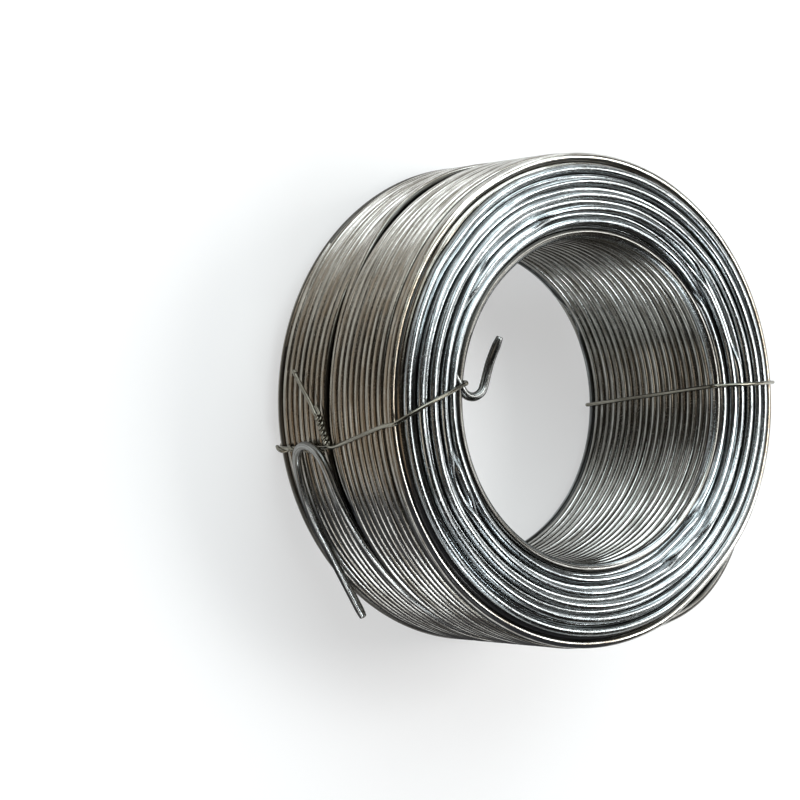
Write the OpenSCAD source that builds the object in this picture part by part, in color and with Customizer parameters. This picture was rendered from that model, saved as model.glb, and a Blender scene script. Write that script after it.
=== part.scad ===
// Coil of galvanised binding wire, tied twice and standing on its back end. The
// front end, where the inner end of the wire comes out, faces up, and the origin is
// the middle of the bore. The coil is drawn with its axis along Y and its front end
// towards -Y, and stood up at the end.

/* [Wire] */
// Diameter of the coiled wire
wire_d = 2; // [1.6:0.1:2.4]
// Clearance between two turns that lie side by side
turn_gap = 0.05; // [0.02:0.01:0.15]

/* [Coil] */
// Outer diameter of the coil, over the tops of the turns
coil_od = 110; // [96:1:140]
// Diameter of the bore, inside the tops of the innermost turns
bore_d = 72; // [60:1:84]
// Number of turns side by side along the bore
bore_turns = 22; // [16:1:28]
// Extra spacing at the groove between two bands
band_gap = 0.6; // [0.2:0.05:0.8]
// Height of the crown of the front end
front_crown = 2.4; // [1:0.1:4]
// Height of the crown of the back end
back_crown = 2; // [1:0.1:4]

/* [Outer end of the wire] */
// Distance from the middle of the bore to the middle of the hook, towards the back
hook_y = 8.75; // [5:0.25:10]
// Radius of the hook, to the middle of the wire
hook_r = 3.55; // [3:0.05:5]
// Angle of the hook round the coil, from the +X side
hook_angle = 194.5; // [190:0.5:205]
// Angle that the returning leg follows round the coil
leg_sweep = 23; // [10:1:40]
// Length of the straight tail that stands off the coil
tail_l = 16.5; // [5:0.5:18]

/* [Inner end of the wire] */
// Radius of the inner hook, to the middle of the wire
inner_hook_r = 3.3; // [2.8:0.05:4]
// Length of the straight tip inside the bore
inner_tip_l = 10.5; // [4:0.5:14]
// Lean of the tip towards the middle of the bore
inner_lean = 10; // [0:1:20]

/* [Ties] */
// Diameter of the tie wire
tie_d = 0.85; // [0.6:0.05:1]
// Clearance between a tie and the turns under it
tie_gap = 0.15; // [0.1:0.05:0.3]
// Length of the twisted part of a tie
twist_l = 7.5; // [5:0.5:10]
// Length of the two free strands past the twist
strand_l = 12.5; // [4:0.5:16]
// Place of the left tie's twist, from the middle of the bore towards the back
left_twist_y = 0.8; // [-4:0.1:4]
// Place of the right tie's twist, from the middle of the bore towards the back
right_twist_y = 6; // [-8:0.5:8]

/* [Hidden] */
$fn = 32;

ro = coil_od / 2;
ri = bore_d / 2;
turn_pitch = wire_d + turn_gap;
// A turn shows as a rib a little fuller than the wire, so that two neighbours
// meet in a groove. The ribs' centres run round the section of the coil.
rib_r = wire_d * 0.6;
rib_ro = ro - rib_r;
rib_ri = ri + rib_r;
bore_half = (bore_turns - 1) * turn_pitch / 2;
// The outside has two bands of turns with a groove between them, and each end has
// turns from corner to corner
band_turns = floor((bore_turns - 2) / 2);
end_turns = round((rib_ro - rib_ri) / turn_pitch);
bands_l = (2 * band_turns - 1) * turn_pitch + band_gap;
band_back = bore_half - turn_pitch * 0.6;
band_front = band_back - bands_l;
// Corners of the section, as [distance from the axis, place along the axis]
bore_front = [rib_ri, -bore_half];
bore_back = [rib_ri, bore_half];
out_back = [rib_ro, band_back];
out_front = [rib_ro, band_front];
// One turn steps down from the front band to the crown
front_edge = [rib_ro - wire_d * 0.35, band_front - turn_pitch];

// Half the angle of an arc of height h over the chord from p to q
function half_angle(p, q, h) = let (c = norm(q - p)) asin(c / (c * c / (4 * h) + h));
// Points on the arc from p to q that stands h proud to the right, moved out by off
function crown(p, q, h, n, off = 0) =
    let (c = norm(q - p), r = c * c / (8 * h) + h / 2, half = half_angle(p, q, h),
         u = (q - p) / c, w = [u[1], -u[0]], m = (p + q) / 2 - w * (r - h))
    [for (i = [0:n]) let (a = -half + 2 * half * i / n)
        m + (r + off) * (u * sin(a) + w * cos(a))];
// Direction, as an angle, in which that arc faces at p
function facing(p, q, h) =
    let (u = q - p) atan2(u[1], u[0]) - 90 - half_angle(p, q, h);

front_ribs = crown(bore_front, front_edge, front_crown, end_turns + 1);
back_ribs = crown(out_back, bore_back, back_crown, end_turns + 1);
outer_ribs = [for (k = [2 * band_turns - 1:-1:0])
    [rib_ro, band_back - k * turn_pitch - (k >= band_turns ? band_gap : 0)]];
bore_ribs = [for (k = [1:bore_turns - 2]) [rib_ri, bore_half - k * turn_pitch]];

// A point at distance r from the axis, at y along it, at angle a round the coil
function on_coil(r, y, a) = [r * cos(a), y, r * sin(a)];

function unit(v) = v / norm(v);
// Points on a circle from a to b in the plane of u and v
function arc(mid, r, u, v, a, b, n) =
    [for (i = [0:n]) let (t = a + (b - a) * i / n) mid + r * (u * cos(t) + v * sin(t))];

// The outer end: the last turn rises, hooks over the left tie and comes back down
leg_y = hook_y + hook_r;
leg_r = ro + tie_gap + tie_d + tie_gap + wire_d / 2;
leg_end_r = ro + 2 * tie_gap + wire_d / 2;
hook_mid = on_coil(leg_r, hook_y, hook_angle);
hook_up = [sin(hook_angle), 0, -cos(hook_angle)];
// The tail leaves a little outside the tangent
tail_angle = hook_angle + leg_sweep - 4;
tail_dir = [-sin(tail_angle), 0, cos(tail_angle)];
leg_end = on_coil(leg_end_r, leg_y, hook_angle + leg_sweep);
outer_end = concat(
    [for (k = [0:4]) let (t = k / 4)
        on_coil(ro - wire_d + (leg_r - ro + wire_d) * (1 - pow(1 - t, 2)),
                hook_y - hook_r - 2.6 * pow(1 - t, 2), hook_angle + 16 - 13 * t)],
    arc(hook_mid, hook_r, [0, -1, 0], hook_up, 0, 180, 10),
    [for (k = [1:6]) let (t = k / 6)
        on_coil(leg_r + (leg_end_r - leg_r) * t, leg_y, hook_angle + leg_sweep * t)],
    [leg_end + tail_dir * wire_d, leg_end + tail_dir * tail_l]);

// The inner end: the first turn bends into the bore round the left tie and turns up
inner_mid = [-(ri + wire_d * 0.45) + inner_hook_r, -bore_half - wire_d * 0.3, 3.6];
inner_end = concat(
    [on_coil(ri + wire_d * 1.3, -bore_half + wire_d * 0.15, 172)],
    arc(inner_mid, inner_hook_r, [1, 0, 0], [0, 0, 1], 205, 360 - inner_lean, 10),
    [inner_mid + inner_hook_r * [cos(inner_lean), 0, -sin(inner_lean)]
        + inner_tip_l * [sin(inner_lean), 0, cos(inner_lean)]]);

// A tie lies this far from a rib's centre, or from the coil's axis on the outside
tie_off = rib_r + tie_gap + tie_d / 2;
tie_r = ro + tie_gap + tie_d / 2;
front_face = facing(bore_front, front_edge, front_crown);
front_turn = 2 * half_angle(bore_front, front_edge, front_crown);
back_face = facing(out_back, bore_back, back_crown);
back_turn = 2 * half_angle(out_back, bore_back, back_crown);

// Points round the rib centre c, facing from direction a to direction b
function round_corner(c, a, b, n) =
    [for (i = [0:n]) let (t = a + (b - a) * i / n) c + tie_off * [cos(t), sin(t)]];
// Distance along the points, from the first to number k
function run(points, k) = k == 0 ? 0 : run(points, k - 1) + norm(points[k] - points[k - 1]);
// Points of the section, each with its angle round the coil going evenly from a to b
function wrap(points, a, b) = let (n = len(points) - 1, whole = run(points, n))
    [for (i = [0:n])
        on_coil(points[i][0], points[i][1], a + (b - a) * run(points, i) / whole)];

// The route of one tie wire round the section, from y0 on the outside over the
// front, through the bore and over the back to y0 again. The angles round the coil
// are those at y0, at the front corner, at both ends of the bore and at the back.
function tie_route(y0, start, front_out, front_in, back_in, back_out) = concat(
    wrap([for (k = [0:2]) let (a = y0 - 1.4 * tie_d) [tie_r, a + (out_front[1] - a) * k / 2]],
         start, front_out),
    wrap(concat(round_corner(out_front, -12, -18, 1),
                round_corner(front_edge, -25, front_face + front_turn + 8, 2),
                crown(front_edge, bore_front, -front_crown, 7, -tie_off)),
         front_out - 0.2, front_in),
    wrap(round_corner(bore_front, front_face - 14, -180, 4), front_in, front_in),
    wrap(round_corner(bore_back, 180, back_face + back_turn + 14, 4), back_in, back_in),
    wrap(crown(bore_back, out_back, -back_crown, 7, -tie_off), back_in, back_out),
    wrap(round_corner(out_back, back_face - 14, 0, 4), back_out, back_out),
    [on_coil(tie_r, (out_back[1] + y0) / 2, (back_out + start) / 2),
     on_coil(tie_r, y0 + 1.4 * tie_d, start)]);

// One of the two ends twisted round each other along the line from p to q
twist_r = tie_d * 0.58;
twist_turns = 3.125;
twist_steps = 32;
function twisted(p, q, side) =
    let (w = unit(q - p), out = [p[0], 0, p[2]], v = unit(out - (out * w) * w), u = cross(v, w))
    [for (i = [0:twist_steps]) let (t = i / twist_steps, a = side * 180 + 360 * twist_turns * t)
        p + (q - p) * t + twist_r * (u * cos(a) + v * sin(a))];

function tangents(path) = let (n = len(path) - 1)
    [for (i = [0:n]) unit(path[min(i + 1, n)] - path[max(i - 1, 0)])];
// The same side of the wire, carried along it without twist
function carried(t, m, i = 0) = i == len(t) ? [] :
    let (s = unit(m - (m * t[i]) * t[i])) concat([s], carried(t, s, i + 1));

// Wire of diameter d swept along a path
module wire(path, d, sides = 8) {
    t = tangents(path);
    m = carried(t, abs(t[0][1]) < 0.7 ? [0, 1, 0] : [0, 0, 1]);
    last = len(path) - 1;
    polyhedron(
        [for (i = [0:last], k = [0:sides - 1]) let (a = 360 * k / sides)
            path[i] + d / 2 * (cos(a) * m[i] + sin(a) * cross(t[i], m[i]))],
        concat([[for (k = [0:sides - 1]) k]],
            [for (i = [0:last - 1], k = [0:sides - 1], half = [0, 1])
                let (a = i * sides + k, b = i * sides + (k + 1) % sides)
                half == 0 ? [a, a + sides, b + sides] : [a, b + sides, b]],
            [[for (k = [sides - 1:-1:0]) last * sides + k]]));
}

// Angle round the coil, at its outside, that an arc of this length covers
function arc_angle(l) = l / ro * 180 / PI;

// A whole tie: strand, twist, round the section, twist and strand, in one wire.
// twist and strand are each [distance along the axis, angle round the coil, height
// over the coil at the far end], and the twist starts at y0 and the first angle.
module tie(y0, angles, twist, strand) {
    foot = on_coil(tie_r + twist_r, y0, angles[0]);
    top = on_coil(ro + twist[2], y0 + twist[0], angles[0] + twist[1]);
    tip = on_coil(ro + strand[2], y0 + twist[0] + strand[0], angles[0] + twist[1] + strand[1]);
    first = twisted(foot + unit(top - foot) * tie_d, top, 0);
    second = twisted(foot + unit(top - foot) * tie_d, top, 1);
    wire(concat(
        [first[twist_steps] + tip - top],
        [for (i = [twist_steps:-1:0]) first[i]],
        tie_route(y0, angles[0], angles[1], angles[2], angles[3], angles[4]),
        second,
        [second[twist_steps] + (tip - top) * strand_trim]), tie_d);
}
// The second strand is cut a little shorter than the first
strand_trim = 0.96;

// Turns what is drawn round the Y axis so that its front end faces up
module stood_up() { rotate([-90, 0, 0]) children(); }

module wire_coil() color([0.62, 0.63, 0.64]) stood_up() {
    rotate([-90, 0, 0]) rotate_extrude($fn = 144) {
        ribs = concat(bore_ribs, front_ribs, outer_ribs, back_ribs);
        polygon(ribs);
        for (p = ribs) translate(p) circle(r = rib_r);
    }
    wire(outer_end, wire_d, 12);
    wire(inner_end, wire_d, 12);
}

// The left tie passes under the top of the hook, and its twist stands up from the
// groove. Over the front it climbs to the inner hook.
module left_tie() color([0.7, 0.7, 0.68]) stood_up() {
    start = hook_angle - arc_angle(hook_r);
    tie(left_twist_y, [start, start - 4.5, start - 16.3, start - 18.8, start + 0.2],
        [0.7, -arc_angle(twist_l), 2.4 * tie_d],
        [strand_l * 0.74, -arc_angle(strand_l * 0.67), 2.6 * tie_d]);
}

module right_tie() color([0.55, 0.55, 0.53]) stood_up() {
    tie(right_twist_y, [3.5, 5.1, 5.8, 0.2, 1],
        [twist_l * 0.45, arc_angle(twist_l * 0.8), 2 * tie_d],
        [strand_l * 0.3, arc_angle(strand_l * 0.5), 2 * tie_d]);
}

wire_coil();
left_tie();
right_tie();
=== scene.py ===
"""A tight coil of galvanised binding wire, tied twice and standing on its back end."""
import math
import random

import bmesh
import bpy
import numpy as np
from mathutils import Matrix, Vector

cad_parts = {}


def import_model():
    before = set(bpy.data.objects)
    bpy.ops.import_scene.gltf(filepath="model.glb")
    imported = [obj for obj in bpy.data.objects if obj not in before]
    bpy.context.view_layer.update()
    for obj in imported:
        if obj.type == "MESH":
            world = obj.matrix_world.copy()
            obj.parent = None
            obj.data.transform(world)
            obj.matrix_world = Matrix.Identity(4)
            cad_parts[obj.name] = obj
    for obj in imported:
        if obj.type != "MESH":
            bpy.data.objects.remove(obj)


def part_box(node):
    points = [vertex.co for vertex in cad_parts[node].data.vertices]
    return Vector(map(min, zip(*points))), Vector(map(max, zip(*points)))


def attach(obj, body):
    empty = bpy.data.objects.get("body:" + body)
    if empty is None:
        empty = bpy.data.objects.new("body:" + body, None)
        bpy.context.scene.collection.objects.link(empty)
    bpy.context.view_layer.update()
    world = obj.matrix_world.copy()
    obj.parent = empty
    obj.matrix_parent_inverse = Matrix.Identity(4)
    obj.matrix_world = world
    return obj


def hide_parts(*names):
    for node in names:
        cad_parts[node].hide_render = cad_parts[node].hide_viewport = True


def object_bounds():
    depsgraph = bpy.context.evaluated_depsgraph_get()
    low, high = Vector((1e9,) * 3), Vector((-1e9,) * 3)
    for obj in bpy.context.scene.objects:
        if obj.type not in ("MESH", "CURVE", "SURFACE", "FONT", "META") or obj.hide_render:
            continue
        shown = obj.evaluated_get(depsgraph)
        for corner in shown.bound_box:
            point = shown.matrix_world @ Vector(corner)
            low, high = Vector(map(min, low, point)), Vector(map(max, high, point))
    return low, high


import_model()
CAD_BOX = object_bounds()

MM = 0.001
TAU = 2 * math.pi

# The coil lies round the Z axis, with its front end up. Lengths are in millimetres
# until a mesh is placed, and angles round the coil are in degrees from the right tie.
# The outer radius comes from the frame. The rest repeats the sizes it was wound to.
OUTER_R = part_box("wire_coil")[1].y / MM
BORE_R = 36.0
WIRE_R = 0.98                   # a little thin, so that packed turns don't cut each other
TIE_R = 0.45
PITCH = 2.05                    # from one turn to the next in the bands and the bore
BAND_GAP = 0.6                  # what the groove between the bands adds to the pitch
BAND_TURNS = 10                 # in each of the two bands round the outside
END_TURNS = 13                  # over each end
BORE_TURNS = 22
BORE_HALF = (BORE_TURNS - 1) * PITCH / 2
LAYER = WIRE_R * 2 * 0.87       # how far one layer of turns lies over the next

# Corners round a wire and rings along a turn, and the same for the hidden layer
SIDES = 12
STEPS = 240
INNER_SIDES = 8
INNER_STEPS = 96
TIE_SIDES = 10
TIE_SPACING = 0.3               # from ring to ring along a tie

# Each wire has a number, which gives it its own shade. The first turn of each group:
FRONT_FIRST = 30
BACK_FIRST = 60
BORE_FIRST = 100
BELOW_BANDS = 400
BELOW_ENDS = 500
BELOW_BORE = 600
OUTER_END, INNER_END = 701, 702
LEFT_TIE, RIGHT_TIE, SPARE_STRAND = 711, 712, 713

random.seed(11)


# ---------------------------------------------------------------- wire as a mesh

TEMPLATE_R = 4                  # of the ring that all wire is shaped from
CUT_BEVEL = 0.12                # length of a cut end's bevel, in ring spacings
CUT_R = 0.84                    # radius of a cut end, as a part of the wire's
PINCH = 3                       # length that cutters pinch, in radii
FINER = 4                       # points of a fine curve for each ring


def tube_template(rings, closed, sides):
    """A plain ring, or an open one with closed ends, that wire is shaped from."""
    bm = bmesh.new()
    side = bm.verts.layers.int.new("side")
    ring = bm.verts.layers.int.new("ring")
    upright = Matrix.Translation((TEMPLATE_R, 0, 0)) @ Matrix.Rotation(math.pi / 2, 4, "X")
    circle = bmesh.ops.create_circle(bm, segments=sides, radius=1, matrix=upright)["verts"]
    for v in circle:
        # A little is added, because a corner can lie just short of its own number
        corner = math.atan2(v.co.z, v.co.x - TEMPLATE_R) / TAU * sides + 0.01
        v[side] = math.floor(corner) % sides
    turned = TAU if closed else TAU * (rings - 1) / rings
    bmesh.ops.spin(bm, geom=bm.verts[:] + bm.edges[:], cent=(0, 0, 0), axis=(0, 0, 1),
                   angle=turned, steps=rings if closed else rings - 1, use_merge=closed)
    if not closed:
        bmesh.ops.holes_fill(bm, edges=[e for e in bm.edges if e.is_boundary])
    bmesh.ops.recalc_face_normals(bm, faces=bm.faces[:])
    for v in bm.verts:
        v[ring] = round(math.atan2(v.co.y, v.co.x) / TAU * rings) % rings
    mesh = bpy.data.meshes.new("tube")
    bm.to_mesh(mesh)
    bm.free()
    return mesh


def ints(mesh, name):
    """The whole numbers that a mesh's corners carry under a name."""
    values = np.zeros(len(mesh.vertices), np.int32)
    mesh.attributes[name].data.foreach_get("value", values)
    return values


def lay_tube(template, path, out, up, radius, along, number, face=0.0):
    """A copy of the template laid along a path, with the marks that its finish reads.

    The face is the angle from out towards up that looks out of the coil."""
    mesh = template.copy()
    ring, side = ints(mesh, "ring"), ints(mesh, "side")
    angle = side / (side.max() + 1) * TAU
    offset = np.cos(angle)[:, None] * out[ring] + np.sin(angle)[:, None] * up[ring]
    points = path[ring] + np.broadcast_to(radius, len(path))[ring, None] * offset
    across = np.stack([np.cos(angle - face), np.sin(angle - face)], 1)
    mesh.vertices.foreach_set("co", (points * MM).astype(np.float32).ravel())
    marks = {"across": np.column_stack([across, np.full(len(points), number)]),
             "along": np.column_stack([along[ring], np.zeros(len(points))])}
    for name, values in marks.items():
        layer = mesh.attributes.new(name, "FLOAT_VECTOR", "POINT")
        layer.data.foreach_set("vector", values.astype(np.float32).ravel())
    return mesh


def piece(name, meshes, material):
    """Joins finished meshes into one piece of the object."""
    bm = bmesh.new()
    for mesh in meshes:
        bm.from_mesh(mesh)
        bpy.data.meshes.remove(mesh)
    for layer in ("side", "ring"):
        if layer in bm.verts.layers.int:
            bm.verts.layers.int.remove(bm.verts.layers.int[layer])
    for face in bm.faces:
        face.smooth = len(face.verts) == 4
    joined = bpy.data.meshes.new(name)
    bm.to_mesh(joined)
    bm.free()
    joined.materials.append(material)
    obj = bpy.data.objects.new(name, joined)
    bpy.context.scene.collection.objects.link(obj)
    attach(obj, "root")
    return obj


RING = tube_template(STEPS, True, SIDES)
INNER_RING = tube_template(INNER_STEPS, True, INNER_SIDES)
ANGLES = np.arange(STEPS) / STEPS * TAU
UP = np.array([0.0, 0.0, 1.0])


def turn(r, h, number, face=0.0, template=RING, steps=STEPS):
    """One closed turn whose centre runs at r and h, each a number or one for each step."""
    angle = np.arange(steps) / steps * TAU
    out = np.stack([np.cos(angle), np.sin(angle), np.zeros(steps)], 1)
    up = np.tile(UP, (steps, 1))
    path = out * np.broadcast_to(r, steps)[:, None] + up * np.broadcast_to(h, steps)[:, None]
    return lay_tube(template, path, out, up, WIRE_R, out[:, :2] * np.mean(r), number, face)


def inner_turn(r, h, number):
    """A turn of the layer below, which shows only through the gaps."""
    return turn(r, h, number, template=INNER_RING, steps=INNER_STEPS)


def wander(size, waves=(1, 2, 3, 5, 8)):
    """A smooth small drift round the coil that closes on itself."""
    total = np.zeros(STEPS)
    for k in waves:
        total += random.gauss(0, 1) / k ** 0.5 * np.cos(k * ANGLES + random.uniform(0, TAU))
    return size * total / 1.5


def hump(centre, width):
    """One smooth hump round the coil, 1 at the centre angle and 0 beyond the width."""
    off = (np.degrees(ANGLES) - centre + 180) % 360 - 180
    return np.cos(np.clip(off / width, -1, 1) * math.pi / 2) ** 2


def smooth_path(points, spacing):
    """Points along a smooth curve through the given ones, about a spacing apart."""
    points = np.array(points, float)
    padded = np.vstack([2 * points[0] - points[1], points, 2 * points[-1] - points[-2]])
    fine = []
    for a, b, c, d in zip(padded, padded[1:], padded[2:], padded[3:]):
        count = max(2, int(np.linalg.norm(c - b) / spacing * FINER))
        t = np.linspace(0, 1, count, endpoint=False)[:, None]
        fine.append(0.5 * (2 * b + (c - a) * t + (2 * a - 5 * b + 4 * c - d) * t ** 2
                           + (3 * b - a - 3 * c + d) * t ** 3))
    fine = np.vstack(fine + [points[-1:]])
    reach = np.concatenate([[0], np.cumsum(np.linalg.norm(np.diff(fine, axis=0), axis=1))])
    even = np.linspace(0, reach[-1], int(reach[-1] / spacing) + 1)
    return np.stack([np.interp(even, reach, fine[:, k]) for k in range(3)], 1)


def wire_along(points, radius, number, sides=SIDES, spacing=0.5, pinch=1.0, facing=None):
    """A length of wire through the points. The last end may be pinched by the cutters.

    Facing is the way out of the coil at the first point, for wire that lies on the coil
    and takes its marks from there as a turn does."""
    path = smooth_path(points, spacing)
    step = np.linalg.norm(path[1] - path[0])
    # Rings close together at each end make a cut end with a narrow bevel
    first, last = path[1] - path[0], path[-1] - path[-2]
    path = np.vstack([path[:1], path[:1] + first * CUT_BEVEL, path[1:-1],
                      path[-1:] - last * CUT_BEVEL, path[-1:]])
    tangent = np.gradient(path, axis=0)
    tangent /= np.linalg.norm(tangent, axis=1)[:, None]
    on_turn = facing is not None
    side = facing if on_turn else np.cross(tangent[0], [0.3, 0.5, 0.8])
    out = []
    for t in tangent:
        side = side - side @ t * t
        side /= np.linalg.norm(side)
        out.append(side)
    out = np.array(out)
    reach = np.arange(len(path)) * step
    radii = np.full(len(path), float(radius))
    radii[[0, -1]] *= CUT_R
    near_end = np.clip((reach - reach[-1]) / (PINCH * radius) + 1, 0, 1)
    radii *= 1 - (1 - pinch) * near_end ** 1.5
    along = path[:, :2] if on_turn else np.column_stack([reach, np.zeros(len(path))])
    template = tube_template(len(path), False, sides)
    return lay_tube(template, path, out, np.cross(out, tangent), radii, along, number)


# ---------------------------------------------------------------- the coil's section

RIM_R = OUTER_R - WIRE_R        # centres of the outermost turns
WALL_R = BORE_R + WIRE_R        # centres of the turns round the bore
BAND_BACK = -(BORE_HALF - PITCH * 0.6)      # height of the backmost turn of the bands
FRONT_CORNER = BAND_BACK + (2 * BAND_TURNS - 1) * PITCH + BAND_GAP
FRONT_EDGE = (RIM_R - WIRE_R * 0.7, FRONT_CORNER + PITCH)
FRONT_BULGE, BACK_BULGE = 2.4, -2.0


class Crown:
    """The bulging arc that the centres of an end's turns lie on, from edge to bore."""

    def __init__(self, edge, bore, height):
        edge, bore = np.array(edge), np.array(bore)
        chord = np.linalg.norm(bore - edge)
        self.radius = chord ** 2 / (8 * abs(height)) + abs(height) / 2
        self.half = math.asin(chord / 2 / self.radius)
        self.inward = (bore - edge) / chord
        self.proud = np.array([-self.inward[1], self.inward[0]])
        self.proud *= math.copysign(1, self.proud[1] * height)
        self.middle = (edge + bore) / 2 + self.proud * (abs(height) - self.radius)
        self.length = 2 * self.half * self.radius

    def face(self, t):
        """Angle from outwards to up at which the crown looks at t."""
        angle = self.half * (2 * t - 1)
        proud = self.proud * math.cos(angle) + self.inward * math.sin(angle)
        return math.atan2(proud[1], proud[0])

    def place(self, t, lift):
        """Centre of a turn at t, from 0 at the edge to 1 at the bore, raised by lift."""
        angle = self.half * (2 * t - 1)
        along, up = (self.radius + lift) * np.sin(angle), (self.radius + lift) * np.cos(angle)
        return [m + along * i + up * p
                for m, i, p in zip(self.middle, self.inward, self.proud)]


FRONT = Crown(FRONT_EDGE, (WALL_R, BORE_HALF), FRONT_BULGE)
BACK = Crown((RIM_R, BAND_BACK), (WALL_R, -BORE_HALF), BACK_BULGE)


def on_coil(r, angle, h):
    """A point at distance r from the axis, at an angle round the coil, at height h."""
    return np.array([r * math.cos(math.radians(angle)), r * math.sin(math.radians(angle)), h])


def band_turns():
    """The two bands of turns round the outside, with the groove between them.

    The turn behind the groove leaves it at the outer end and stands loose at the top.
    The foremost two stand loose at the lower right."""
    made, below = [], []
    behind_gap, foremost = BAND_TURNS - 1, 2 * BAND_TURNS - 1
    # How far the loose turns stand out, each hump with its centre angle and its width
    loose = {behind_gap: 1.5 * hump(124, 34) - 0.8 * hump(176, 30) - 1.9 * hump(222, 38),
             behind_gap - 1: 0.7 * hump(122, 26),
             foremost: 2.5 * hump(-50, 26),
             foremost - 1: 1.0 * hump(-52, 22)}
    for k in range(2 * BAND_TURNS):
        h = BAND_BACK + k * PITCH + (BAND_GAP if k > behind_gap else 0)
        sink = 0.14 * random.random() * hump(random.uniform(0, 360), 80) + 0.03
        edge_sink = 0.25 if k in (behind_gap, foremost) else 0.0
        r = RIM_R - sink - edge_sink + loose.get(k, 0.0)
        made.append(turn(r, h + wander(0.05), k))
        # The layer below is deeper in the groove
        deeper = 0.7 if k == behind_gap else 0.0
        below.append(inner_turn(RIM_R - LAYER - deeper, h + (PITCH + deeper) / 2,
                                BELOW_BANDS + k))
    return made, below


def settled(across, height, first, last):
    """Moves turns in the section apart where they are nearer than their thickness.

    They stay between first and last across the end, and between the crown and a little
    more than half a wire below it."""
    clear, push_part, deepest, rounds = 0.02, 0.3, -1.2, 60
    for _ in range(rounds):
        d_across = across[:, None] - across[None]
        d_height = height[:, None] - height[None]
        apart = np.hypot(d_across, d_height) + 1e-6
        push = np.clip(2 * WIRE_R + clear - apart, 0, None) / apart * push_part
        across = np.clip(across + (push * d_across).sum(1), first, last)
        height = np.clip(height + (push * d_height).sum(1), deepest, 0)
    return across, height


def smoothed(values):
    """Each row evened out along the coil."""
    shares = {-3: 1, -2: 2, -1: 3, 0: 4, 1: 3, 2: 2, 3: 1}
    return sum(np.roll(values, k, axis=1) * share for k, share in shares.items()) / 16


def end_turns(crown, number, edge=0.0, shifts=()):
    """The turns over one end, every other one lower, so that it shows between the rest.

    Near the bore they differ less. The edge is how near the rim the outermost may lie. A
    shift moves the turns on each side of a place apart, by a size near an angle, and
    fades over a width in degrees."""
    turns = np.arange(END_TURNS)
    place = (turns / (END_TURNS - 1))[:, None] * np.ones(STEPS)
    near_bore = place > 0.7
    lower = 0.7 * (turns % 2)[:, None] * np.where(near_bore, 0.3, 1.0) + 0.2
    waves = (1, 2, 3, 4)
    across = place * crown.length + np.array([wander(0.48, waves) for _ in turns])
    height = np.array([wander(0.5, waves) for _ in turns]) - lower
    for at, angle, width, size in shifts:
        side = np.where(place > at, 1, -1)
        across += side * size * np.exp(-abs(place - at) * 4) * hump(angle, width)
    across, height = settled(across, np.minimum(height, 0), edge, crown.length)
    across, height = smoothed(across), smoothed(height)
    made = []
    for k, (a, h) in enumerate(zip(across, height)):
        face = crown.face(np.mean(a) / crown.length)
        made.append(turn(*crown.place(a / crown.length, h), number + k, face))
    hidden, depth = 9, 2.5
    below = [inner_turn(*crown.place((k + 0.5) / hidden, -depth), BELOW_ENDS + number + k)
             for k in range(hidden)]
    return made, below


def bore_turns():
    """The turns round the bore, straight but for the last few at the front."""
    made, below = [], []
    last_straight = BORE_TURNS - 4
    for k in range(BORE_TURNS):
        h = -BORE_HALF + k * PITCH
        r = WALL_R + 0.02 + 0.05 * random.random()
        if k > last_straight:
            h += 0.25
            r = WALL_R + 0.1 * (k - last_straight) + wander(0.05)
        made.append(turn(r, h + wander(0.03), BORE_FIRST + k, math.pi))
        if k < BORE_TURNS - 2:
            below.append(inner_turn(WALL_R + LAYER, h + PITCH / 2, BELOW_BORE + k))
    return made, below


# ---------------------------------------------------------------- wire ends and ties

HOOK_H = BAND_BACK + (BAND_TURNS - 1) * PITCH       # height of the turn behind the groove
TIE_CLEAR = 0.13                # between a tie and the turns under it
TIE_LIFT = WIRE_R + TIE_CLEAR + TIE_R       # from the centre of a turn to a tie's over it


def outer_end():
    """The turn behind the groove rises, hooks back over the left tie and runs down.

    Its way is a distance from the axis, an angle, and a height over the hook's start."""
    route = [(53.3, 272, -0.3), (53.4, 266, -0.25), (53.55, 259, -0.15), (53.75, 251, -0.05),
             (53.9, 243, 0), (54.1, 234, 0), (54.4, 225, 0),
             (54.9, 216, 0.1), (55.6, 208, 0.2), (56.3, 201, 0.2), (56.8, 196, 0.0),
             (57.1, 193.2, -0.7), (57.3, 191.4, -2.1), (57.4, 190.4, -4.0), (57.4, 190.1, -6.1),
             (57.4, 190.7, -8.1), (57.2, 192.2, -9.8), (57.0, 194.8, -10.8), (56.9, 199, -11.2),
             (56.8, 204, -11.5), (56.6, 210, -11.9), (56.5, 216, -12.3)]
    points = [on_coil(r, angle, HOOK_H + rise) for r, angle, rise in route]
    tail, tail_length = math.radians(213.5), 18.0
    points.append(points[-1] + tail_length * np.array([-math.sin(tail), math.cos(tail), -0.05]))
    return wire_along(points, WIRE_R, OUTER_END, pinch=0.8, facing=on_coil(1, route[0][1], 0))


def inner_end():
    """The first turn bends into the bore round the left tie and turns up.

    Its way starts with distances out from the bore's turns, angles, and heights over the
    foremost of them."""
    radius, lean = 3.3, math.radians(14)
    middle = np.array([-(BORE_R + 0.9) + radius, 3.6, BORE_HALF + 0.6])
    route = [(0.6, 140, -0.5), (0.8, 156, -0.4), (1.2, 168, -0.2), (1.5, 172, 0)]
    points = [on_coil(WALL_R + out, angle, BORE_HALF + rise) for out, angle, rise in route]
    for degrees in range(205, 351, 29):
        a = math.radians(degrees)
        points.append(middle + radius * np.array([math.cos(a), math.sin(a), 0]))
    bend = points[-1]
    for reach in (5.0, 10.5):
        points.append(bend + reach * np.array([math.sin(lean), math.cos(lean), 0.02 * reach]))
    return wire_along(points, WIRE_R, INNER_END, pinch=0.62)


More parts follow.
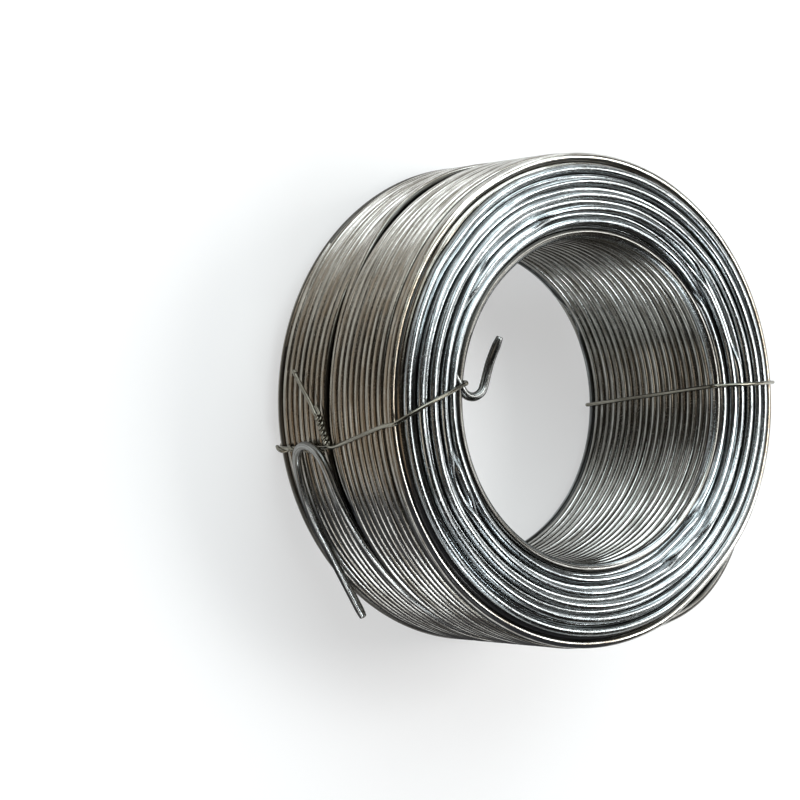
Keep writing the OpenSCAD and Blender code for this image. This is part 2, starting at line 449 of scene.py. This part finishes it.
def over_corner(r, h, *angles):
    """Places of a tie in the section, over a turn that is centred at r and h.

    Each angle, in radians, goes from outwards towards the front."""
    return [(r + TIE_LIFT * math.cos(a), h + TIE_LIFT * math.sin(a)) for a in angles]


def round_the_section(foot_h, angles):
    """A tie's way round the section: up the outside, over the front, down the bore, back.

    The angles round the coil are those of the twist and of the four corners after it."""
    start, front_out, front_in, back_in, back_out = angles
    twist_gap, corner_gap = 1.4, 2.0
    outside, bore = RIM_R + TIE_LIFT, WALL_R - TIE_LIFT
    rise = [(outside, h) for h in np.linspace(foot_h + twist_gap, FRONT_CORNER, 4)]
    front = over_corner(*FRONT_EDGE, 0.35, 0.95)
    front += [FRONT.place(t, TIE_LIFT) for t in np.linspace(0.16, 0.98, 7)]
    front += over_corner(WALL_R, BORE_HALF + 0.3, 2.2, 2.75)
    wall = [(bore, h) for h in np.linspace(BORE_HALF, -BORE_HALF, 8)]
    back = over_corner(WALL_R, -BORE_HALF, math.pi + 0.45, math.pi + 1.0)
    back += [BACK.place(t, TIE_LIFT) for t in np.linspace(0.97, 0.06, 7)]
    home = over_corner(RIM_R, BAND_BACK, -0.9, -0.35)
    home += [(outside, h) for h in np.linspace(BAND_BACK + corner_gap, foot_h - twist_gap, 4)]
    stretches = [(rise, start, front_out), (front, front_out, front_in),
                 (wall, front_in, back_in), (back, back_in, back_out), (home, back_out, start)]
    margin = 0.4                # keeps the places of a stretch short of its end angles
    points = []
    for section, first, last in stretches:
        section = np.array(section)
        steps = np.linalg.norm(np.diff(section, axis=0), axis=1)
        reach = np.concatenate([[margin], np.cumsum(steps)])
        for (r, h), part in zip(section, reach / (reach[-1] + margin)):
            points.append(on_coil(r, first + (last - first) * part, h))
    return points


def helix(foot, top, turns, phase, radius, count=12):
    """Points of one strand that is twisted along the line from foot to top."""
    line = (top - foot) / np.linalg.norm(top - foot)
    out = np.array([foot[0], foot[1], 0.0])
    out -= out @ line * line
    out /= np.linalg.norm(out)
    side = np.cross(out, line)
    points = []
    for k in range(int(turns * count) + 1):
        t = k / (turns * count)
        angle = phase + TAU * turns * t
        offset = side * math.cos(angle) + out * math.sin(angle)
        points.append(foot + (top - foot) * t + radius * offset)
    return points


def tie(foot_h, angles, top, tip, number):
    """One tie wire: round the section, its two ends twisted together, one left long.

    The top and tip are each a distance from the axis, an angle and a height."""
    foot = on_coil(RIM_R + TIE_LIFT + TIE_R, angles[0], foot_h)
    top, tip = on_coil(*top), on_coil(*tip)
    foot = foot + (top - foot) * 0.1
    twists, strand_r = 3.1, TIE_R * 1.05
    first = helix(foot, top, twists, 0.0, strand_r)
    second = helix(foot, top, twists, math.pi, strand_r)
    away = tip - first[-1]
    bend = [tip + np.array([0.1, -0.5, 0.9]) * TIE_R * 2, tip, first[-1] + away * 0.66,
            first[-1] + away * 0.3 + np.array([0, 0, 0.25])]
    short = [second[-1] + away * 0.08, second[-1] + away * 0.17]
    points = bend + first[::-1] + round_the_section(foot_h, angles) + second + short
    return wire_along(points, TIE_R, number, TIE_SIDES, TIE_SPACING)


def spare_strand():
    """The left tie's other strand, twisted round it where it comes up from the back."""
    first = on_coil(RIM_R + TIE_LIFT, 191.0, BAND_BACK - 0.5)
    last = on_coil(RIM_R + TIE_LIFT, 190.9, -3.5)
    strand = helix(first, last, 3.6, 0.6, TIE_R * 1.5)
    return wire_along(strand, TIE_R * 0.9, SPARE_STRAND, TIE_SIDES, TIE_SPACING)


# ---------------------------------------------------------------- finishes

class Number:
    """A value in a material. Working with it adds the Math nodes."""

    def __init__(self, maker, socket):
        self.maker, self.socket = maker, socket

    def _math(self, operation, *values):
        settings = {"operation": operation}
        return self.maker.node("ShaderNodeMath", settings, dict(enumerate(values)))

    def __add__(self, other):
        return self._math("ADD", self, other)

    def __radd__(self, other):
        return self._math("ADD", other, self)

    def __sub__(self, other):
        return self._math("SUBTRACT", self, other)

    def __rsub__(self, other):
        return self._math("SUBTRACT", other, self)

    def __mul__(self, other):
        return self._math("MULTIPLY", self, other)

    def __rmul__(self, other):
        return self._math("MULTIPLY", other, self)


class Maker:
    """Builds one material's nodes."""

    def __init__(self, name, tree=None):
        self.material = None
        if tree is None:
            self.material = bpy.data.materials.new(name)
            self.material.use_nodes = True
            tree = self.material.node_tree
        self.tree = tree
        self.tree.nodes.clear()

    def node(self, kind, settings=None, inputs=None, output=0):
        """Adds a node, with its settings and the values or links of its sockets."""
        made = self.tree.nodes.new(kind)
        for key, value in (settings or {}).items():
            setattr(made, key, value)
        for key, value in (inputs or {}).items():
            if isinstance(value, Number):
                self.tree.links.new(value.socket, made.inputs[key])
            else:
                made.inputs[key].default_value = value
        return Number(self, made.outputs[output]) if made.outputs else made

    def parts(self, vector):
        """The three numbers of a vector."""
        first = self.node("ShaderNodeSeparateXYZ", {}, {"Vector": vector})
        return [Number(self, out) for out in first.socket.node.outputs]

    def joined(self, x, y, z):
        """A vector of three numbers."""
        return self.node("ShaderNodeCombineXYZ", {}, {"X": x, "Y": y, "Z": z})

    def noise(self, vector, scale, detail, roughness=0.5, w=None):
        """Cloudy noise from 0 to 1, and in four dimensions where w is the fourth."""
        inputs = {"Vector": vector, "Scale": scale, "Detail": detail, "Roughness": roughness}
        if w is None:
            return self.node("ShaderNodeTexNoise", {}, inputs, "Fac")
        inputs["W"] = w
        return self.node("ShaderNodeTexNoise", {"noise_dimensions": "4D"}, inputs, "Fac")

    def span(self, value, low, high, to_low=0.0, to_high=1.0, smooth=True):
        """Maps low to high onto another span, and holds it at both ends."""
        settings = {"interpolation_type": "SMOOTHSTEP" if smooth else "LINEAR"}
        inputs = {"Value": value, "From Min": low, "From Max": high,
                  "To Min": to_low, "To Max": to_high}
        return self.node("ShaderNodeMapRange", settings, inputs, "Result")

    def blend(self, amount, first, second):
        """Mixes two colours, from all of the first at 0 to all of the second at 1."""
        settings = {"data_type": "RGBA"}
        return self.node("ShaderNodeMix", settings, {0: amount, 6: first, 7: second}, 2)

    def finish(self, shader):
        """Gives the surface its shader, and returns the finished material."""
        self.node("ShaderNodeOutputMaterial", {}, {"Surface": shader})
        return self.material


def wire_marks(m):
    """What a wire's finish is laid out on: round the wire, which turn, and along it."""
    across = m.node("ShaderNodeAttribute", {"attribute_name": "across"}, output="Vector")
    along = m.node("ShaderNodeAttribute", {"attribute_name": "along"}, output="Vector")
    return m.parts(across) + m.parts(along)[:2]


# Painted highlight: bright zinc laid on the side of the coil that catches the light
PAINTED_HIGHLIGHT_ZINC = (0.88, 0.88, 0.85, 1)
DIRT = (0.12, 0.11, 0.1, 1)
# Painted shade down the sides of packed turns, where the next turn shades them, with a little
# dust
PAINTED_SHADE_BETWEEN_TURNS = (0.025, 0.023, 0.02, 1)
# Painted shade on the crests of the wire low on the coil, towards -X and -Y
PAINTED_CREST_SHADE = (0.03, 0.03, 0.033, 1)
SCRATCH_DEPTH = 0.00006         # in metres


def zinc(name, light, dark, film, rough, film_amount, packed=0.5, highlight_place=None, crest_shade_amount=0.0,
         relief=0.5, bare=0.38):
    """Drawn and galvanised wire: bright lines along it, dull film, pits, and sides painted
    dark.

    The lines turn light where their noise is past bare. Relief is how strongly they and
    the pits stand out. Wire that is packed beside other turns has painted shade down its
    sides, the shade between the turns with a little dust, from packed on down, where 1 is
    its crest and 0 its side. Loose wire has a packed of 0. A highlight place is a place
    along Y, and the two distances from it between which the film thins out and painted
    highlights of bright zinc come through, on the side of the coil that catches the light.
    A crest shade amount is how much painted shade lies along the crest of that wire,
    towards -X and -Y."""
    m = Maker(name)
    x, y, number, s, t = wire_marks(m)
    # Fine lines that run along the wire
    lines_at = m.joined(x * 1.5 + number * 7.3, y * 1.5, s * 0.03)
    lines = m.noise(lines_at, 2.2, 5.0, 0.75, w=t * 0.03)
    # Patches a few millimetres long
    patch_at = m.joined(x * 0.8 + number * 3.1, y * 0.8, s * 0.25)
    patches = m.noise(patch_at, 1.0, 3.0, 0.6, w=t * 0.25)
    # Pits and specks
    grain_at = m.joined(x * 2 + number * 5.7, y * 2, s * 1.6)
    grain = m.noise(grain_at, 1.6, 3.0, 0.65, w=t * 1.6)
    specks = m.span(grain, 0.6, 0.7)
    own = m.node("ShaderNodeTexWhiteNoise", {"noise_dimensions": "1D"}, {"W": number}, "Value")
    tone = m.blend(m.span(lines, bare, 0.6), dark, light)
    highlight_mask = 0.0
    # Painted highlights: on one side of the coil the film thins and lines of bright zinc come
    # through
    if highlight_place:
        middle, near, far = highlight_place
        off = t - middle
        highlight_mask = m.span(off * off, near ** 2, far ** 2)
        bright = highlight_mask * m.span(lines + own * 0.1, 0.5, 0.62)
        tone = m.blend(bright * 0.8, tone, PAINTED_HIGHLIGHT_ZINC)
    dull = m.span(patches * 0.75 + own * 0.25, 0.35, 0.72) * film_amount
    dull = dull * (1 - highlight_mask * 0.8)
    tone = m.blend(dull, tone, film)
    tone = m.blend(specks * 0.45, tone, DIRT)
    roughness = (rough + dull * 0.14 + m.span(lines, 0.3, 0.7) * 0.06
                 + m.span(grain, 0.5, 0.8) * 0.12)
    # Painted shade down the sides of wire packed between other turns, with a little dust
    if packed:
        sides = m.span(x, packed, packed - 0.45 + highlight_mask * 0.2)
        tone = m.blend(sides * 0.88, tone, PAINTED_SHADE_BETWEEN_TURNS)
        roughness = roughness + sides * 0.1
    bump = {"Strength": relief, "Distance": SCRATCH_DEPTH,
            "Height": lines * 0.5 + grain * 0.5 - specks * 0.35}
    normal = m.node("ShaderNodeBump", {}, bump, "Normal")
    metal = {"Base Color": tone, "Metallic": 1.0, "Roughness": roughness, "Normal": normal}
    shader = m.node("ShaderNodeBsdfPrincipled", {}, metal)
    # Painted shade: a dark matt cover over the crests low on the coil, towards -X and -Y
    if crest_shade_amount:
        low = m.span(t, 0.0, -28.0) * m.span(s, 20.0, 0.0) * highlight_mask
        cover = low * m.span(x, 0.72, 0.9) * crest_shade_amount
        crest_shade = m.node("ShaderNodeBsdfDiffuse", {}, {"Color": PAINTED_CREST_SHADE, "Roughness": 0.5})
        shader = m.node("ShaderNodeMixShader", {}, {0: cover, 1: shader, 2: crest_shade})
    return m.finish(shader)


def dark_core(name):
    """The shadowed inside of the winding, seen only through gaps."""
    m = Maker(name)
    place = m.node("ShaderNodeTexCoord", {}, output="Object")
    dust = m.noise(place, 900.0, 3.0)
    tone = m.blend(dust, (0.035, 0.033, 0.03, 1), (0.07, 0.065, 0.06, 1))
    shader = m.node("ShaderNodeBsdfPrincipled", {}, {"Base Color": tone, "Roughness": 0.8})
    return m.finish(shader)


WIRE = zinc("galvanised_wire", (0.66, 0.715, 0.73, 1), (0.11, 0.12, 0.125, 1),
            (0.19, 0.19, 0.18, 1), 0.16, 0.6, packed=0.36, relief=0.8, bare=0.44)
# Darker than the wire over the ends: partly its dark film, partly painted shade in the bore.
# Painted highlights of bright zinc low on its -Y side, which faces the key lamp
BORE_WIRE = zinc("bore_wire", (0.48, 0.485, 0.46, 1), (0.12, 0.114, 0.1, 1),
                 (0.08, 0.07, 0.055, 1), 0.13, 0.85, packed=0.34, highlight_place=(20.0, 28.0, 44.0),
                 relief=0.2)
SHADED = zinc("shaded_wire", (0.13, 0.14, 0.14, 1), (0.05, 0.05, 0.05, 1),
              (0.06, 0.055, 0.05, 1), 0.25, 0.6)
# Darker than the wire over the ends: partly its brown film, partly painted shade. Painted
# highlights on its +Y and -Y sides, painted shade on its crests low towards -X and -Y
OUTER_WIRE = zinc("dulled_wire", (0.4, 0.38, 0.33, 1), (0.12, 0.108, 0.09, 1),
                  (0.19, 0.15, 0.105, 1), 0.15, 0.9, packed=0.66, highlight_place=(8.0, 12.0, 32.0),
                  crest_shade_amount=0.95)
# Painted highlights and painted shade on the crests, placed as on the bands
LOOSE = zinc("loose_wire", (0.46, 0.47, 0.46, 1), (0.05, 0.052, 0.05, 1),
             (0.1, 0.09, 0.072, 1), 0.22, 0.7, packed=0.0, highlight_place=(8.0, 12.0, 32.0),
             crest_shade_amount=0.95, bare=0.45)
TIE = zinc("tie_wire", (0.5, 0.49, 0.42, 1), (0.07, 0.067, 0.055, 1),
           (0.13, 0.115, 0.085, 1), 0.09, 0.6, packed=0.0, bare=0.44)
CORE = dark_core("winding_shadow")


# ---------------------------------------------------------------- the coil

def core():
    """A plain ring inside the winding, that the gaps end on."""
    inset = 2 * LAYER + 0.4
    short = 1.0                 # of the bore's ends
    crown_places = (0.12, 0.35, 0.65, 0.88)
    bm = bmesh.new()
    corners = [(RIM_R - inset, BAND_BACK), (RIM_R - inset, FRONT_CORNER)]
    corners += [FRONT.place(t, -inset) for t in crown_places]
    corners += [(WALL_R + inset, BORE_HALF - short), (WALL_R + inset, short - BORE_HALF)]
    corners += [BACK.place(t, -inset) for t in reversed(crown_places)]
    loop = [bm.verts.new((r * MM, 0, h * MM)) for r, h in corners]
    for first, second in zip(loop, loop[1:] + loop[:1]):
        bm.edges.new((first, second))
    bmesh.ops.spin(bm, geom=bm.verts[:] + bm.edges[:], cent=(0, 0, 0), axis=(0, 0, 1),
                   angle=TAU, steps=INNER_STEPS, use_merge=True)
    bmesh.ops.recalc_face_normals(bm, faces=bm.faces[:])
    if bm.calc_volume(signed=True) < 0:
        bmesh.ops.reverse_faces(bm, faces=bm.faces[:])
    mesh = bpy.data.meshes.new("core")
    bm.to_mesh(mesh)
    bm.free()
    return mesh


# Over the front, the turns keep clear of the foremost loose ones, and gaps open near the
# bore at two places
FRONT_LIMIT = -0.8 + 1.9 * hump(-50, 26)
FRONT_GAPS = [(0.86, 46, 50, 0.75), (0.84, 2, 22, 0.5)]

bands, bands_below = band_turns()
front, front_below = end_turns(FRONT, FRONT_FIRST, FRONT_LIMIT, FRONT_GAPS)
back, back_below = end_turns(BACK, BACK_FIRST)
bore, bore_below = bore_turns()
# The turns at the edge of each end have the finish of the bands beside them
outer_bands = piece("outer_bands", bands + front[:2] + back[:1], OUTER_WIRE)
piece("front_end", front[2:], WIRE)
piece("back_end", back[1:], WIRE)
piece("bore_wall", bore, BORE_WIRE)
piece("layer_below", bands_below + front_below + back_below + bore_below, SHADED)
piece("winding_core", [core()], CORE)
piece("wire_ends", [outer_end(), inner_end()], LOOSE)
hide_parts("wire_coil")

left_loop = tie(-0.8, (190.8, 186.3, 174.5, 172.0, 191.0), (OUTER_R + 2.05, 183.2, -2.2),
                (OUTER_R + 2.1, 173.8, -11.6), LEFT_TIE)
right_loop = tie(-6.0, (3.5, 5.1, 5.8, 0.2, 1.0), (OUTER_R + 1.4, 9.7, -9.4),
                 (OUTER_R + 1.4, 16.3, -13.2), RIGHT_TIE)
left_wire = piece("left_tie_wire", [left_loop, spare_strand()], TIE)
right_wire = piece("right_tie_wire", [right_loop], TIE)
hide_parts("left_tie")
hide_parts("right_tie")


# ---------------------------------------------------------------- camera and stage

FLOOR_Z = CAD_BOX[0].z          # where the coil's back end rests
FLOOR_SIZE = 4                  # in metres
CAMERA_AT = Vector((-381.5, -12.5, 474.9)) * MM
CAMERA_LOOKS = Vector((0.58757, 0.02127, -0.80889))


def camera():
    """Looks down on the front end from -X, with +Y up, and the coil right of the middle."""
    data = bpy.data.cameras.new("camera")
    data.lens = 120.5
    data.sensor_width = 36
    data.clip_start = 0.05
    data.clip_end = 20
    obj = bpy.data.objects.new("camera", data)
    bpy.context.scene.collection.objects.link(obj)
    forward = CAMERA_LOOKS.normalized()
    right = forward.cross(Vector((0, 1, 0))).normalized()
    up = right.cross(forward)
    turned = Matrix((right, up, -forward)).transposed().to_4x4()
    turned.translation = CAMERA_AT
    obj.matrix_world = turned
    bpy.context.scene.camera = obj


def lamp(name, place, size, power, colour=(1, 1, 1)):
    """A soft box that shines at the coil.

    Its size is (width, height) in metres, and its power is in watts."""
    data = bpy.data.lights.new(name, "AREA")
    data.shape = "RECTANGLE"
    data.size, data.size_y = size
    data.energy = power
    data.color = colour
    obj = bpy.data.objects.new(name, data)
    bpy.context.scene.collection.objects.link(obj)
    obj.location = place
    obj.rotation_mode = "QUATERNION"
    obj.rotation_quaternion = (-Vector(place)).to_track_quat("-Z", "Y")


def seen_directly(m):
    """1 for what the camera sees, also in metal or through glass, and 0 for lighting."""
    path = m.node("ShaderNodeLightPath").socket.node.outputs
    rays = [Number(m, path[f"Is {kind} Ray"]) for kind in ("Camera", "Glossy", "Transmission")]
    return m.span(rays[0] + rays[1] + rays[2], 0.0, 1.0, smooth=False)


def plain(name, colour, glow):
    """A matt finish that looks paler than it is lit, by its glow."""
    m = Maker(name)
    matt = m.node("ShaderNodeBsdfDiffuse", {}, {"Color": colour})
    shine = {"Color": (1, 1, 1, 1), "Strength": seen_directly(m) * glow}
    light = m.node("ShaderNodeEmission", {}, shine)
    return m.finish(m.node("ShaderNodeAddShader", {}, {0: matt, 1: light}))


def floor():
    """The plain floor that the coil stands on."""
    bm = bmesh.new()
    bmesh.ops.create_grid(bm, x_segments=8, y_segments=8, size=FLOOR_SIZE)
    for v in bm.verts:
        v.co.z = FLOOR_Z
    mesh = bpy.data.meshes.new("floor")
    bm.to_mesh(mesh)
    bm.free()
    mesh.materials.append(plain("pale_floor", (0.5, 0.5, 0.5, 1), 0.5))
    obj = bpy.data.objects.new("floor", mesh)
    bpy.context.scene.collection.objects.link(obj)


def world():
    """A room that is pale low down and dark above, palest towards +Y and warm where dim."""
    made = bpy.data.worlds.new("world")
    made.use_nodes = True
    bpy.context.scene.world = made
    m = Maker("world", made.node_tree)
    x, y, z = m.parts(m.node("ShaderNodeTexCoord", {}, output="Generated"))
    bright_side = m.span(x * 0.5 + y, -0.9, 0.9, 0.08, 1.0)
    level = m.span(z, 0.05, 0.45, 0.8, 0.06) * bright_side + m.span(y, 0.55, 0.9, 0.0, 0.4)
    tone = m.blend(m.span(level, 0.0, 0.45), (1.0, 0.8, 0.62, 1), (1, 1, 1, 1))
    sky = m.node("ShaderNodeBackground", {}, {"Color": tone, "Strength": level})
    m.node("ShaderNodeOutputWorld", {}, {"Surface": sky})


camera()
floor()
world()
lamp("key", (0.1, 1.12, 1.05), (1.6, 1.9), 25, (0.87, 0.965, 1.0))
lamp("overhead", (0.72, 0.16, 1.05), (0.5, 0.5), 8)
lamp("low", (-0.1, -0.85, 0.65), (0.34, 0.14), 2.2, (0.86, 0.94, 1.0))
lamp("front", (-0.45, -1.15, 0.42), (1.1, 0.5), 3.6, (0.98, 0.99, 1.0))
lamp("left", (-1.2, -0.35, 0.6), (0.8, 0.45), 1.3, (1.0, 0.83, 0.66))
lamp("side", (-1.1, 0.9, 0.3), (0.25, 0.25), 0.5)
lamp("right", (1.25, -0.15, 0.5), (0.9, 0.5), 2.6)
bpy.context.scene.view_settings.view_transform = "Standard"
